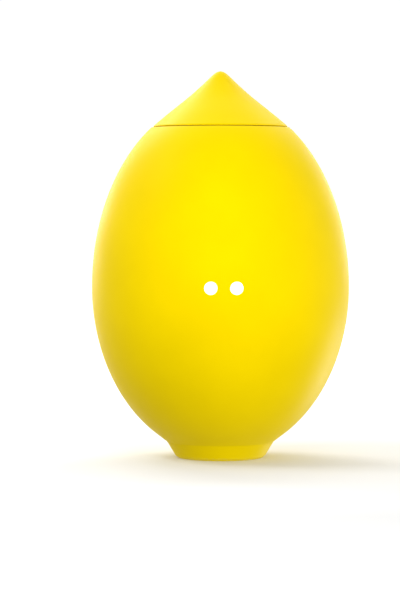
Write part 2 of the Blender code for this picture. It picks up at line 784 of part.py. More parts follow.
def battery_holder():
    holder = turned(
        "battery_holder",
        [
            (0.0, HOLDER_TOP_Z),
            (HOLDER_RADIUS, HOLDER_TOP_Z),
            (HOLDER_RADIUS, HOLDER_STEP_Z + 0.4),
            (HOLDER_COLLAR_RADIUS, HOLDER_STEP_Z - 0.4),
            (HOLDER_COLLAR_RADIUS, HOLDER_BOTTOM_Z),
            (LOCK_BORE, HOLDER_BOTTOM_Z),
            (LOCK_BORE, LOCK_LEDGE_Z[0]),
            (LOCK_LEDGE_BORE, LOCK_LEDGE_Z[0]),
            (LOCK_LEDGE_BORE, LOCK_LEDGE_Z[1]),
            (LOCK_BORE, LOCK_LEDGE_Z[1]),
            (LOCK_BORE, HOLDER_STEP_Z),
            (HOLDER_BORE, HOLDER_STEP_Z),
            (HOLDER_BORE, HOLDER_CEILING_Z),
            (0.0, HOLDER_CEILING_Z),
        ],
        BLACK_PLASTIC,
    )
    inside = HOLDER_RADIUS - EAR_OVERLAP
    thickness = (-EAR_THICKNESS / 2, EAR_THICKNESS / 2)
    sides = [(-EAR_REACH, -inside), (inside, EAR_REACH)]
    join(holder, boxes("holder_ears", [(side, thickness, EAR_Z) for side in sides]))
    ear_holes = [
        (x, z, SCREW_CLEARANCE_RADIUS, -2.0, 2.0)
        for name, (x, z, _) in SHELL_SCREWS.items()
        if "lower" in name
    ]
    cut(holder, rods("ear_holes", ear_holes, sides=12))
    across = (-CONTACT_GROOVE_HALF_WIDTH, CONTACT_GROOVE_HALF_WIDTH)
    inner = HOLDER_BORE - 0.8
    slot = ((inner, HOLDER_RADIUS + 1.0), across, CONTACT_SLOT_Z)
    groove_z = (HOLDER_STEP_Z - 0.2, CONTACT_SLOT_Z[1])
    groove = ((inner, HOLDER_BORE + CONTACT_GROOVE_DEPTH), across, groove_z)
    cut(holder, boxes("contact_slot", [slot]))
    cut(holder, boxes("contact_groove", [groove]))
    notch_z = (LOCK_LEDGE_Z[0] - 0.5, LOCK_LEDGE_Z[1] + 0.5)
    notch_width = DOOR_LUG_WIDTH + 1.4
    notch_angles = [angle - UNLOCK_TURN for angle in LOCK_ANGLES]
    notch_reach = (LOCK_LEDGE_BORE - 1.0, LOCK_BORE)
    cut(holder, spokes("lock_notches", notch_reach, notch_width, notch_z, notch_angles))


def button_cells():
    rim = 0.5
    for number in range(CELL_COUNT):
        z = CELL_BOTTOM_Z + number * (CELL_HEIGHT + GAP)
        turned(
            f"button_cell_{number + 1}",
            [
                (0.0, z + CELL_HEIGHT),
                (CELL_RADIUS - 1.6, z + CELL_HEIGHT),
                (CELL_RADIUS - 1.2, z + CELL_HEIGHT - rim),
                (CELL_RADIUS - 0.2, z + CELL_HEIGHT - rim),
                (CELL_RADIUS, z + CELL_HEIGHT - rim - 0.3),
                (CELL_RADIUS, z + 0.3),
                (CELL_RADIUS - 0.3, z),
                (0.0, z),
            ],
            CELL_STEEL,
            steps=20,
        )


def battery_contacts():
    cells_top = CELL_BOTTOM_Z + CELL_COUNT * (CELL_HEIGHT + GAP) - GAP
    low = cells_top + GAP + SPRING_WIRE_RADIUS
    high = HOLDER_CEILING_Z - GAP - SPRING_WIRE_RADIUS
    widening = SPRING_TOP_COIL_RADIUS - SPRING_BOTTOM_COIL_RADIUS
    coil = helix(
        lambda t: SPRING_BOTTOM_COIL_RADIUS + widening * t,
        low,
        (high - low) / SPRING_TURNS,
        SPRING_TURNS,
        points_per_turn=12,
    )
    wire_curve("contact_spring", coil, SPRING_WIRE_RADIUS, 1, STEEL)
    bottom, top = STRIP_Z
    strip = boxes("side_contact", [(STRIP_X, STRIP_Y, STRIP_Z)], BRASS)
    join(strip, boxes("side_contact_foot", [(STRIP_FOOT_X, STRIP_Y, (bottom, bottom + STRIP_THICKNESS))]))
    join(strip, boxes("side_contact_tab", [(STRIP_TAB_X, STRIP_Y, (top - STRIP_THICKNESS, top))]))


def battery_door():
    door = turned(
        "battery_door",
        [
            (0.0, DOOR_TOP_Z),
            (DOOR_PLUG_RADIUS, DOOR_TOP_Z),
            (DOOR_PLUG_RADIUS, DOOR_HEAD_Z[1]),
            (DOOR_HEAD_RADIUS, DOOR_HEAD_Z[1]),
            (DOOR_HEAD_RADIUS, DOOR_HEAD_Z[0] + 0.3),
            (DOOR_HEAD_RADIUS - 0.3, DOOR_HEAD_Z[0]),
            (0.0, DOOR_HEAD_Z[0]),
        ],
        YELLOW,
    )
    slot = (
        (-COIN_SLOT_HALF_LENGTH, COIN_SLOT_HALF_LENGTH),
        (-COIN_SLOT_HALF_WIDTH, COIN_SLOT_HALF_WIDTH),
        (-1.0, DOOR_HEAD_Z[0] + COIN_SLOT_DEPTH),
    )
    cut(door, boxes("coin_slot", [slot]))
    reach = (DOOR_PLUG_RADIUS - 1.0, DOOR_LUG_REACH)
    join(door, spokes("door_lugs", reach, DOOR_LUG_WIDTH, DOOR_LUG_Z, LOCK_ANGLES))
    low, high = DOOR_CONTACT_Z
    disc = [(0.0, high), (DOOR_CONTACT_RADIUS, high), (DOOR_CONTACT_RADIUS, low), (0.0, low)]
    turned("door_contact", disc, BRASS, steps=24)
    flat_ring("door_gasket", *DOOR_GASKET_RADII, DOOR_HEAD_Z[1] + 0.2, HOLDER_BOTTOM_Z - 0.2)


def wires():
    wire_curve("wire_positive", smooth_path(RED_ROUTE, 4), WIRE_RADIUS, 2, RED_WIRE)
    wire_curve("wire_negative", smooth_path(BLACK_ROUTE, 4), WIRE_RADIUS, 2, BLACK_WIRE)


# ---------------------------------------------------------------- assembly


def build():
    wall_core = solid_egg("wall_core", WALL_CORE_INSET, 8.0, 72.0)
    front_shell(wall_core)
    rear_shell(wall_core)
    shell_screws()
    neck_ring()
    cap()
    chamber_floor()
    shot()
    windows_and_lamps(solid_egg("window_skin", WINDOW_INSET, 20.0, 60.0))
    circuit_board()
    board_components()
    battery_holder()
    button_cells()
    battery_contacts()
    battery_door()
    wires()
    for obj in PARTS.objects:
        if obj.type == "MESH":
            shade_round(obj)


build()
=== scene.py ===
"""The looks of a yellow, lemon-shaped, light-up egg shaker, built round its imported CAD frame.

Fine meshes replace the faceted CAD solids one for one, each in the place that the frame gives it, and every
piece has a procedural material. Sizes in the code are in millimetres, and points are multiplied by MM.
"""

import json
import math

import bmesh
import bpy
import numpy as np
from mathutils import Matrix, Vector


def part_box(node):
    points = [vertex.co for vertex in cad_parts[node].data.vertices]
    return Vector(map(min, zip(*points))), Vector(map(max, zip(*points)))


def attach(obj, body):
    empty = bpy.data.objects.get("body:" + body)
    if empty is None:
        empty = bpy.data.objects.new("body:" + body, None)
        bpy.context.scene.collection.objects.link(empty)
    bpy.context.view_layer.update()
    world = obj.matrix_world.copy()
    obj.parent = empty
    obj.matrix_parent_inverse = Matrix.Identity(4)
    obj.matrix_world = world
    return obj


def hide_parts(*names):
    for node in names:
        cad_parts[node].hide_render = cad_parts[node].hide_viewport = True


MM = 0.001

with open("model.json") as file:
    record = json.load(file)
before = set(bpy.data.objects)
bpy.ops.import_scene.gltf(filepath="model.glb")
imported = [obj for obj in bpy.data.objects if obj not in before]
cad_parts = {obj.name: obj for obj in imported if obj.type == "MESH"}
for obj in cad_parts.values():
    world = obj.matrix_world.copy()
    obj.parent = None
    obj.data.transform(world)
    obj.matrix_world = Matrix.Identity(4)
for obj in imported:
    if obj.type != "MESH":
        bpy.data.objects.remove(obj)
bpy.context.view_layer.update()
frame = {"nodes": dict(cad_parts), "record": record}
RECORD = frame["record"]
SLOT_OF = {part["node"]: part["material_slot"] for part in RECORD["subparts"]}
BODY_OF = {node: body for body, nodes in RECORD["behaviour"]["bodies"].items() for node in nodes}

# ---------------------------------------------------------------- dimensions, read from the frame


def low(node):
    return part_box(node)[0] / MM


def high(node):
    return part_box(node)[1] / MM


def centre(node):
    return (low(node) + high(node)) / 2


BODY_RADIUS = high("front_shell").x
RIM_Z = high("front_shell").z
WIDEST_Z = 39.8
UPPER_SEMI_AXIS = 44.0
LOWER_SEMI_AXIS = 39.5
WALL = 2.0
PARTING_HALF_GAP = 0.06
LIP_REACH = 0.05  # how far the rear shell's inner edge crosses the parting plane
LIP_INSET = 0.8  # how far inside the outer surface that lip begins

FOOT_RADIUS = 10.55
FOOT_TOP_RADIUS = 12.5
FOOT_TOP_Z = 3.7
DOOR_BORE_RADIUS = 8.3
HOLDER_BORE_RADIUS = 9.0

NECK_BORE_RADIUS = 12.7
NECK_OUTER_RADIUS = 14.9
NECK_BOTTOM_Z = 66.6
NECK_GROOVE_RADIUS = 13.8
NECK_GROOVE_Z = (69.9, 71.5)
LEDGE_RADIUS = 25.0
LEDGE_Z = (47.2, 48.8)

FRONT_PILLAR_RADIUS = 3.0
REAR_PILLAR_RADIUS = 3.8
BOARD_POST_RADIUS = 2.4
LOWER_PILLAR_HALF_GAP = 0.9
SCREW_PILOT_RADIUS = 1.45
SCREW_PILOT_DEPTH = 8.0
SCREW_CLEARANCE_RADIUS = 1.5
BOARD_PILOT_RADIUS = 1.0
BOARD_PILOT_DEPTH = 4.0
WELL_RADIUS = 2.6
WELL_FLOOR_Y = 5.0
WINDOW_HOLE_RADIUS = 1.49

RING_BORE_RADIUS = 10.8
SKIRT_RADIUS = 9.9
SKIRT_BORE_RADIUS = 8.2
TIP_Z = high("cap").z
SKIRT_BOTTOM_Z = low("cap").z
SEAT_Z = RIM_Z + 0.15
THREAD_LEAD = 12.0
THREAD_PITCH = 4.0  # between neighbouring ridges of the three starts
THREAD_Z = (69.6, 73.6)
THREAD_STEP = 0.16  # between the points that draw the threads

FLOOR_THICKNESS = 1.6
DISH_RADIUS = 24.5
DISH_CURVATURE = 90.0

LAMP_RADIUS = 1.45
LAMP_COLLAR_RADIUS = 1.72
COLLAR_HEIGHT = 1.0

SWITCH_Y = -16.0
SPRING_WIRE = 0.3
SWITCH_WIRE = 0.22
WIRE_RADIUS = 0.59

FINE = 144  # steps round the large turned pieces
MEDIUM = 64  # and round the small ones


# ---------------------------------------------------------------- mesh helpers


def add_object(name, data):
    obj = bpy.data.objects.new(name, data)
    bpy.context.scene.collection.objects.link(obj)
    return obj


def finished_mesh(name, bm, merge=0.0005):
    bmesh.ops.remove_doubles(bm, verts=bm.verts, dist=merge * MM)
    bmesh.ops.recalc_face_normals(bm, faces=bm.faces)
    mesh = bpy.data.meshes.new(name)
    bm.to_mesh(mesh)
    bm.free()
    return mesh


def lathe(name, profile, steps=FINE, closed=False, offset=None, half=0, on_lip=None):
    """Turns (radius, height) points about Z.

    offset(angle, radius, z) moves a point outwards, for threads and ribs. half is -1 for the front half only,
    +1 for the rear half only, and 0 for the whole turn. on_lip(radius, z) tells which points of a half's edge
    reach across the parting plane.
    """
    start = {0: 0.0, -1: -math.pi, 1: 0.0}[half]
    sweep = math.pi if half else 2 * math.pi
    columns = steps // 2 + 1 if half else steps
    angles = [start + sweep * i / (columns - 1 if half else steps) for i in range(columns)]
    bm = bmesh.new()
    rings = []
    for angle in angles:
        ring = []
        for radius, z in profile:
            reach = radius + (offset(angle, radius, z) if offset else 0.0)
            point = Vector((reach * math.cos(angle), reach * math.sin(angle), z))
            if half and abs(point.y) < PARTING_HALF_GAP:
                crosses = on_lip and on_lip(radius, z)
                point.y = half * (-LIP_REACH if crosses else PARTING_HALF_GAP)
            ring.append(bm.verts.new(point * MM))
        rings.append(ring)
    rows = len(profile)
    spans = rows if closed else rows - 1
    for i in range(columns - 1 if half else columns):
        here, there = rings[i], rings[(i + 1) % columns]
        for j in range(spans):
            k = (j + 1) % rows
            bm.faces.new((here[j], there[j], there[k], here[k]))
    if half:
        bm.faces.new(rings[0])
        bm.faces.new(list(reversed(rings[-1])))
    bmesh.ops.dissolve_degenerate(bm, edges=bm.edges, dist=0.0005 * MM)
    return finished_mesh(name, bm)


def arc_corner(before, corner, after, radius, segments=4):
    """The points of a fillet at a profile's corner."""
    a, c, b = (Vector(p) for p in (before, corner, after))
    to_a, to_b = (a - c), (b - c)
    room = min(to_a.length, to_b.length) * 0.49
    half_angle = to_a.angle(to_b) / 2
    reach = min(radius / math.tan(half_angle), room)
    radius = reach * math.tan(half_angle)
    middle = c + (to_a.normalized() + to_b.normalized()).normalized() * (radius / math.sin(half_angle))
    first, last = c + to_a.normalized() * reach - middle, c + to_b.normalized() * reach - middle
    turn = first.angle_signed(last)
    points = []
    for i in range(segments + 1):
        angle = -turn * i / segments
        cos, sin = math.cos(angle), math.sin(angle)
        points.append((middle.x + first.x * cos - first.y * sin, middle.y + first.x * sin + first.y * cos))
    return points


def rounded(points, radius, closed=False, segments=4):
    """The profile with its corners rounded. A point may carry its own radius as a third value."""
    made = []
    count = len(points)
    for i, point in enumerate(points):
        own = point[2] if len(point) > 2 else radius
        at_end = not closed and i in (0, count - 1)
        if at_end or own <= 0.0:
            made.append(tuple(point[:2]))
            continue
        before, after = points[i - 1][:2], points[(i + 1) % count][:2]
        made += arc_corner(before, point[:2], after, own, segments)
    return made


def spaced(start, end, step):
    """Points from start to end of a straight stretch, no further apart than step."""
    a, b = Vector(start), Vector(end)
    count = max(1, math.ceil((b - a).length / step))
    return [tuple(a.lerp(b, i / count)) for i in range(count + 1)]


def rod(name, x, z, radius, y0, y1, sides):
    """A cylinder along Y."""
    bm = bmesh.new()
    matrix = Matrix.Translation(Vector((x, (y0 + y1) / 2, z)) * MM) @ Matrix.Rotation(math.pi / 2, 4, "X")
    bmesh.ops.create_cone(
        bm,
        cap_ends=True,
        segments=sides,
        radius1=radius * MM,
        radius2=radius * MM,
        depth=abs(y1 - y0) * MM,
        matrix=matrix,
    )
    return add_object(name, finished_mesh(name, bm))


def block(name, x_span, y_span, z_span, bevel=0.0, turn=0.0):
    """A box with rounded edges, turned about Z."""
    bm = bmesh.new()
    spans = (x_span, y_span, z_span)
    middle = Vector([(a + b) / 2 for a, b in spans]) * MM
    size = [(b - a) * MM for a, b in spans]
    matrix = Matrix.Rotation(turn, 4, "Z") @ Matrix.Translation(middle) @ Matrix.Diagonal((*size, 1.0))
    bmesh.ops.create_cube(bm, size=1.0, matrix=matrix)
    if bevel:
        bmesh.ops.bevel(bm, geom=bm.edges[:], offset=bevel * MM, segments=3, profile=0.5, affect="EDGES")
    return add_object(name, finished_mesh(name, bm, 0.0001))


def apply_modifiers(obj):
    bpy.context.view_layer.update()
    graph = bpy.context.evaluated_depsgraph_get()
    mesh = bpy.data.meshes.new_from_object(obj.evaluated_get(graph))
    obj.modifiers.clear()
    obj.data = mesh
    return obj


def combine(obj, operation, *others):
    """Applies a Boolean with each of the others, and removes them."""
    for other in others:
        boolean = obj.modifiers.new(other.name, "BOOLEAN")
        boolean.operation = operation
        boolean.object = other
    apply_modifiers(obj)
    for other in others:
        bpy.data.objects.remove(other, do_unlink=True)
    return obj


def tube(name, points, radius, sides):
    """A round tube along the points, with its frame carried along so that it never twists."""
    path = [Vector(p) for p in points]
    end = len(path) - 1
    tangents = [(path[min(i + 1, end)] - path[max(i - 1, 0)]).normalized() for i in range(end + 1)]
    across = tangents[0].orthogonal().normalized()
    bm = bmesh.new()
    rings = []
    for point, tangent in zip(path, tangents):
        across = (across - tangent * across.dot(tangent)).normalized()
        up = tangent.cross(across)
        ring = [
            bm.verts.new((point + (across * math.cos(a) + up * math.sin(a)) * radius) * MM)
            for a in (2 * math.pi * k / sides for k in range(sides))
        ]
        rings.append(ring)
    for here, there in zip(rings, rings[1:]):
        for k in range(sides):
            n = (k + 1) % sides
            bm.faces.new((here[k], here[n], there[n], there[k]))
    bm.faces.new(list(reversed(rings[0])))
    bm.faces.new(rings[-1])
    return finished_mesh(name, bm, 0.0001)


def smooth_path(controls, steps):
    """A Catmull-Rom curve through the control points."""
    points = [Vector(p) for p in controls]
    padded = [2 * points[0] - points[1], *points, 2 * points[-1] - points[-2]]
    path = []
    for i in range(1, len(padded) - 2):
        a, b, c, d = padded[i - 1 : i + 3]
        for k in range(steps):
            t = k / steps
            square_term = (2 * a - 5 * b + 4 * c - d) * t**2
            cube_term = (3 * b - a - 3 * c + d) * t**3
            path.append(0.5 * (2 * b + (c - a) * t + square_term + cube_term))
    path.append(points[-1])
    return path


def show(name, made, node, finish, sharp=35.0):
    """Makes a mesh or object a visible piece that stands for a CAD node and moves with its body."""
    obj = made if isinstance(made, bpy.types.Object) else add_object(name, made)
    obj.name = name
    obj.data.name = name
    obj.data.materials.clear()
    obj.data.materials.append(finish)
    obj.data.shade_smooth()
    obj.data.set_sharp_from_angle(angle=math.radians(sharp))
    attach(obj, BODY_OF[node])
    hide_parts(node)
    return obj


# ---------------------------------------------------------------- materials


class Nodes:
    """A short way to write a material's node tree."""

    def __init__(self, name):
        self.material = bpy.data.materials.new(name)
        self.material.use_nodes = True
        self.tree = self.material.node_tree
        self.shader = self.tree.nodes["Principled BSDF"]
        self.place = self.add("ShaderNodeTexCoord").outputs["Object"]

    def add(self, kind, **settings):
        node = self.tree.nodes.new(kind)
        for key, value in settings.items():
            setattr(node, key, value)
        return node

    def link(self, source, target):
        self.tree.links.new(source, target)

    def stretch(self, scale):
        """The place, scaled differently along X, Y and Z."""
        mapping = self.add("ShaderNodeMapping")
        mapping.inputs["Scale"].default_value = scale
        self.link(self.place, mapping.inputs["Vector"])
        return mapping.outputs["Vector"]

    def noise(self, size_mm, detail=2.0, roughness=0.5, place=None):
        """Noise whose features are about size_mm across."""
        node = self.add("ShaderNodeTexNoise")
        node.inputs["Scale"].default_value = 1.0 / (size_mm * MM)
        node.inputs["Detail"].default_value = detail
        node.inputs["Roughness"].default_value = roughness
        self.link(place or self.place, node.inputs["Vector"])
        return node.outputs["Fac"]

    def remap(self, value, from_low, from_high, to_low, to_high):
        node = self.add("ShaderNodeMapRange")
        for key, number in (
            ("From Min", from_low),
            ("From Max", from_high),
            ("To Min", to_low),
            ("To Max", to_high),
        ):
            node.inputs[key].default_value = number
        self.link(value, node.inputs["Value"])
        return node.outputs["Result"]

    def maths(self, operation, a, b):
        node = self.add("ShaderNodeMath", operation=operation)
        for socket, value in zip(node.inputs, (a, b)):
            if isinstance(value, (int, float)):
                socket.default_value = value
            else:
                self.link(value, socket)
        return node.outputs[0]

    def colours(self, factor, first, second):
        """A colour between two, by the factor. Either may itself be a colour output."""
        node = self.add("ShaderNodeMix", data_type="RGBA")
        self.link(factor, node.inputs["Factor"])
        for key, value in (("A", first), ("B", second)):
            socket = next(s for s in node.inputs if s.name == key and s.type == "RGBA")
            if isinstance(value, tuple):
                socket.default_value = (*value, 1.0)
            else:
                self.link(value, socket)
        return next(s for s in node.outputs if s.type == "RGBA")

    def height(self):
        """Height above the object's base, in metres."""
        split = self.add("ShaderNodeSeparateXYZ")
        self.link(self.place, split.inputs["Vector"])
        return split.outputs["Z"]

    def bump(self, *layers):
        """Stacks bumps, each as (height output, depth in mm)."""
        normal = None
        for value, depth_mm in layers:
            node = self.add("ShaderNodeBump")
            node.inputs["Distance"].default_value = depth_mm * MM
            self.link(value, node.inputs["Height"])
            if normal:
                self.link(normal, node.inputs["Normal"])
            normal = node.outputs["Normal"]
        self.link(normal, self.shader.inputs["Normal"])

    def set(self, **values):
        for key, value in values.items():
            self.shader.inputs[key.replace("_", " ")].default_value = value

    def colour_and_roughness(self, colour, roughness):
        for source, key in ((colour, "Base Color"), (roughness, "Roughness")):
            if source is not None:
                self.link(source, self.shader.inputs[key])


def yellow_plastic():
    """Satin moulded plastic with fine grain, faint flow mottling, handling marks and a scuffed foot."""
    n = Nodes("satin_yellow")
    mottle = n.remap(n.noise(14.0, 3.0), 0.35, 0.65, 0.0, 1.0)
    base = n.colours(mottle, (0.865, 0.630, 0.0), (0.895, 0.655, 0.0))
    pigment = n.remap(n.noise(0.5, 2.0), 0.62, 0.80, 0.0, 0.22)
    base = n.colours(pigment, base, (0.82, 0.57, 0.0))
    handled = n.remap(n.noise(9.0, 5.0, 0.6), 0.40, 0.70, 0.0, 1.0)
    foot_wear = n.remap(n.height(), 0.0, 0.9 * MM, 1.0, 0.0)
    scuffs = n.remap(n.noise(0.35, 4.0, 0.7), 0.48, 0.62, 0.0, 0.45)
    worn = n.maths("MULTIPLY", foot_wear, scuffs)
    base = n.colours(worn, base, (0.80, 0.66, 0.25))
    rough = n.remap(handled, 0.0, 1.0, 0.46, 0.40)
    rough = n.maths("ADD", rough, n.maths("MULTIPLY", worn, 0.3))
    n.colour_and_roughness(base, rough)
    n.set(IOR=1.13, Specular_IOR_Level=0.5, Specular_Tint=(1.0, 0.73, 0.0, 1.0))
    n.bump((n.noise(0.22, 2.0, 0.6), 0.010), (n.noise(1.6, 2.0), 0.012))
    return n.material


def opal_window():
    """Milky light-pipe plastic, lit from behind."""
    n = Nodes("opal_white")
    haze = n.remap(n.noise(0.9, 3.0), 0.35, 0.65, 0.0, 1.0)
    colour = n.colours(haze, (0.93, 0.93, 0.90), (0.97, 0.97, 0.96))
    n.colour_and_roughness(colour, n.remap(n.noise(0.4, 2.0), 0.3, 0.7, 0.22, 0.34))
    n.set(Emission_Color=(1.0, 1.0, 0.98, 1.0), Emission_Strength=1.1, IOR=1.49)
    n.bump((n.noise(0.3, 2.0), 0.004))
    return n.material


def moulded_plastic(name, dark, light, roughness):
    """Moulded plastic with pale specks, worn patches and a fine grain."""
    n = Nodes(name)
    mottle = n.remap(n.noise(5.0, 3.0), 0.35, 0.65, 0.0, 1.0)
    base = n.colours(mottle, dark, light)
    speck = n.remap(n.noise(0.3, 3.0, 0.7), 0.60, 0.75, 0.0, 0.5)
    base = n.colours(speck, base, tuple(min(1.0, c * 1.5 + 0.01) for c in light))
    rough = n.remap(n.noise(3.0, 4.0, 0.6), 0.35, 0.7, roughness + 0.06, roughness - 0.06)
    n.colour_and_roughness(base, rough)
    n.bump((n.noise(0.25, 2.0, 0.6), 0.012))
    return n.material


def rubber():
    """Black rubber with a grey bloom in patches."""
    n = Nodes("black_rubber_fine")
    bloom = n.remap(n.noise(1.2, 4.0, 0.65), 0.45, 0.75, 0.0, 1.0)
    base = n.colours(bloom, (0.018, 0.018, 0.018), (0.060, 0.060, 0.058))
    n.colour_and_roughness(base, n.remap(bloom, 0.0, 1.0, 0.72, 0.88))
    n.bump((n.noise(0.12, 2.0), 0.02))
    return n.material


def metal(name, colour, tarnish, roughness):
    """Bright metal with drawn scratches, a little tarnish and rubbed patches."""
    n = Nodes(name)
    patch = n.remap(n.noise(1.8, 4.0, 0.6), 0.45, 0.75, 0.0, 0.6)
    base = n.colours(patch, colour, tarnish)
    scratch = n.noise(0.6, 3.0, 0.7, n.stretch((1.0, 1.0, 9.0)))
    dulled = n.remap(patch, 0.0, 0.6, roughness, roughness + 0.16)
    scored = n.remap(scratch, 0.4, 0.7, 0.0, 0.08)
    n.colour_and_roughness(base, n.maths("ADD", dulled, scored))
    n.set(Metallic=1.0)
    n.bump((scratch, 0.004))
    return n.material


def circuit_board_mask():
    """Green solder mask over copper tracks, with bare tinned pads."""
    n = Nodes("solder_mask")
    tracks = n.add("ShaderNodeTexBrick", offset=0.37, squash=3.0)
    tracks.inputs["Scale"].default_value = 1.0 / (9.0 * MM)
    tracks.inputs["Mortar Size"].default_value = 0.025
    tracks.inputs["Mortar Smooth"].default_value = 0.1
    turned_place = n.add("ShaderNodeMapping")
    turned_place.inputs["Rotation"].default_value = (math.pi / 2, 0.0, 0.0)
    n.link(n.place, turned_place.inputs["Vector"])
    n.link(turned_place.outputs["Vector"], tracks.inputs["Vector"])
    weave = n.remap(n.noise(0.4, 2.0), 0.3, 0.7, 0.0, 1.0)
    mask = n.colours(weave, (0.010, 0.105, 0.040), (0.018, 0.140, 0.055))
    base = n.colours(tracks.outputs["Fac"], mask, (0.020, 0.160, 0.062))
    pads = n.add("ShaderNodeTexVoronoi", feature="F1")
    pads.inputs["Scale"].default_value = 1.0 / (3.2 * MM)
    n.link(n.place, pads.inputs["Vector"])
    bare = n.remap(pads.outputs["Distance"], 0.10, 0.13, 1.0, 0.0)
    base = n.colours(bare, base, (0.62, 0.62, 0.60))
    n.colour_and_roughness(base, n.remap(bare, 0.0, 1.0, 0.32, 0.26))
    n.link(n.maths("MULTIPLY", bare, 0.9), n.shader.inputs["Metallic"])
    n.bump((tracks.outputs["Fac"], 0.03))
    return n.material


def clear_resin():
    """The lamps' resin, faintly hazy and glowing."""
    n = Nodes("lamp_resin_fine")
    haze = n.remap(n.noise(0.8, 2.0), 0.3, 0.7, 0.0, 1.0)
    base = n.colours(haze, (0.90, 0.93, 0.96), (0.97, 0.98, 0.99))
    n.colour_and_roughness(base, n.remap(haze, 0.0, 1.0, 0.05, 0.12))
    n.set(Transmission_Weight=0.75, IOR=1.53, Emission_Color=(0.95, 0.98, 1.0, 1.0), Emission_Strength=0.6)
    return n.material


def insulation(name, dark, light):
    """Soft wire insulation, slightly cloudy."""
    n = Nodes(name)
    haze = n.remap(n.noise(1.2, 3.0), 0.35, 0.65, 0.0, 1.0)
    n.colour_and_roughness(n.colours(haze, dark, light), n.remap(n.noise(0.6, 2.0), 0.3, 0.7, 0.38, 0.50))
    n.bump((n.noise(0.3, 2.0), 0.006))
    return n.material


FINISH = {
    "satin_yellow_plastic": yellow_plastic(),
    "opal_white_plastic": opal_window(),
    "grey_plastic": moulded_plastic("grey_moulding", (0.235, 0.245, 0.255), (0.285, 0.295, 0.305), 0.48),
    "black_plastic": moulded_plastic("black_moulding", (0.016, 0.016, 0.017), (0.028, 0.028, 0.030), 0.42),
    "green_board": circuit_board_mask(),
    "black_rubber": rubber(),
    "bright_steel": metal("bright_steel_fine", (0.62, 0.63, 0.65), (0.42, 0.41, 0.40), 0.16),
    "brass": metal("brass_fine", (0.72, 0.50, 0.20), (0.40, 0.25, 0.09), 0.24),
    "cell_steel": metal("cell_steel_fine", (0.56, 0.57, 0.60), (0.40, 0.40, 0.41), 0.24),
    "lamp_resin": clear_resin(),
    "red_insulation": insulation("red_insulation_fine", (0.42, 0.010, 0.010), (0.55, 0.018, 0.014)),
    "black_insulation": insulation("black_insulation_fine", (0.014, 0.014, 0.014), (0.030, 0.030, 0.030)),
}


def finish_of(node):
    return FINISH[SLOT_OF[node]]


# ---------------------------------------------------------------- body shells


def egg_line(z_from, z_to, points, inset=0.0):
    """Points along the egg's side, evenly spaced round its ellipse."""

    def semi_axis(upper):
        return (UPPER_SEMI_AXIS if upper else LOWER_SEMI_AXIS) - inset

    def angle_of(z):
        return math.asin(max(-1.0, min(1.0, (z - WIDEST_Z) / semi_axis(z > WIDEST_Z))))

    first, last = angle_of(z_from), angle_of(z_to)
    line = []
    for i in range(points):
        angle = first + (last - first) * i / (points - 1)
        z = WIDEST_Z + semi_axis(angle > 0) * math.sin(angle)
        line.append(((BODY_RADIUS - inset) * math.cos(angle), z))
    return line


def upper_height_at(radius, inset):
    """The height at which the egg's upper half, drawn in by the inset, has the radius."""
    narrowing = math.sqrt(1.0 - (radius / (BODY_RADIUS - inset)) ** 2)
    return WIDEST_Z + (UPPER_SEMI_AXIS - inset) * narrowing


def shell_profile():
    """The wall's section: outer side down, foot, then the inner side up to the neck."""
    outer = egg_line(RIM_Z, FOOT_TOP_Z + 0.45, 84)
    rim = rounded([(NECK_BORE_RADIUS, RIM_Z), outer[0], outer[2]], 0.18)[1:-1]
    foot = rounded(
        [
            outer[-3],
            (FOOT_TOP_RADIUS, FOOT_TOP_Z, 0.7),
            (FOOT_RADIUS, 0.5, 0.5),
            (FOOT_RADIUS - 0.62, 0.0, 0.35),
            (DOOR_BORE_RADIUS, 0.0, 0.2),
            (DOOR_BORE_RADIUS, 2.4, 0.1),
            (HOLDER_BORE_RADIUS, 2.4, 0.1),
            (HOLDER_BORE_RADIUS, 4.6, 0.2),
            (HOLDER_BORE_RADIUS + 1.4, 5.0),
        ],
        0.0,
        segments=5,
    )[1:-1]
    lower_inside = egg_line(5.0, LEDGE_Z[0], 26, WALL)
    ledge = rounded(
        [
            lower_inside[-1],
            (LEDGE_RADIUS, LEDGE_Z[0] + 0.6, 0.2),
            (LEDGE_RADIUS, LEDGE_Z[1], 0.2),
            (BODY_RADIUS - WALL - 0.5, LEDGE_Z[1]),
        ],
        0.0,
    )[1:-1]
    upper_inside = egg_line(LEDGE_Z[1], upper_height_at(NECK_OUTER_RADIUS, WALL), 22, WALL)
    neck = rounded(
        [
            upper_inside[-1],
            (NECK_OUTER_RADIUS, NECK_BOTTOM_Z),
            (NECK_BORE_RADIUS, NECK_BOTTOM_Z),
            (NECK_BORE_RADIUS, NECK_GROOVE_Z[0]),
            (NECK_GROOVE_RADIUS, NECK_GROOVE_Z[0]),
            (NECK_GROOVE_RADIUS, NECK_GROOVE_Z[1]),
            (NECK_BORE_RADIUS, NECK_GROOVE_Z[1]),
            (NECK_BORE_RADIUS, RIM_Z, 0.18),
            outer[0],
        ],
        0.15,
        segments=3,
    )[1:-1]
    return rim + outer[1:-2] + foot + lower_inside + ledge + upper_inside + neck


def on_inner_side(radius, z):
    """Whether a point of the wall's section lies on its inner side, where the rear shell has its lip."""
    semi_axis = UPPER_SEMI_AXIS if z > WIDEST_Z else LOWER_SEMI_AXIS
    outer = FOOT_RADIUS
    if z > FOOT_TOP_Z:
        outer = BODY_RADIUS * math.sqrt(1.0 - ((z - WIDEST_Z) / semi_axis) ** 2)
    return radius < outer - LIP_INSET


def wall_core():
    """A solid egg that ends inside the wall, which trims the screw pillars."""
    top, bottom = 72.0, 8.0
    line = egg_line(top, bottom, 40, WALL / 2)
    return add_object("wall_core", lathe("wall_core", [(0.0, top), *line, (0.0, bottom)], 96))


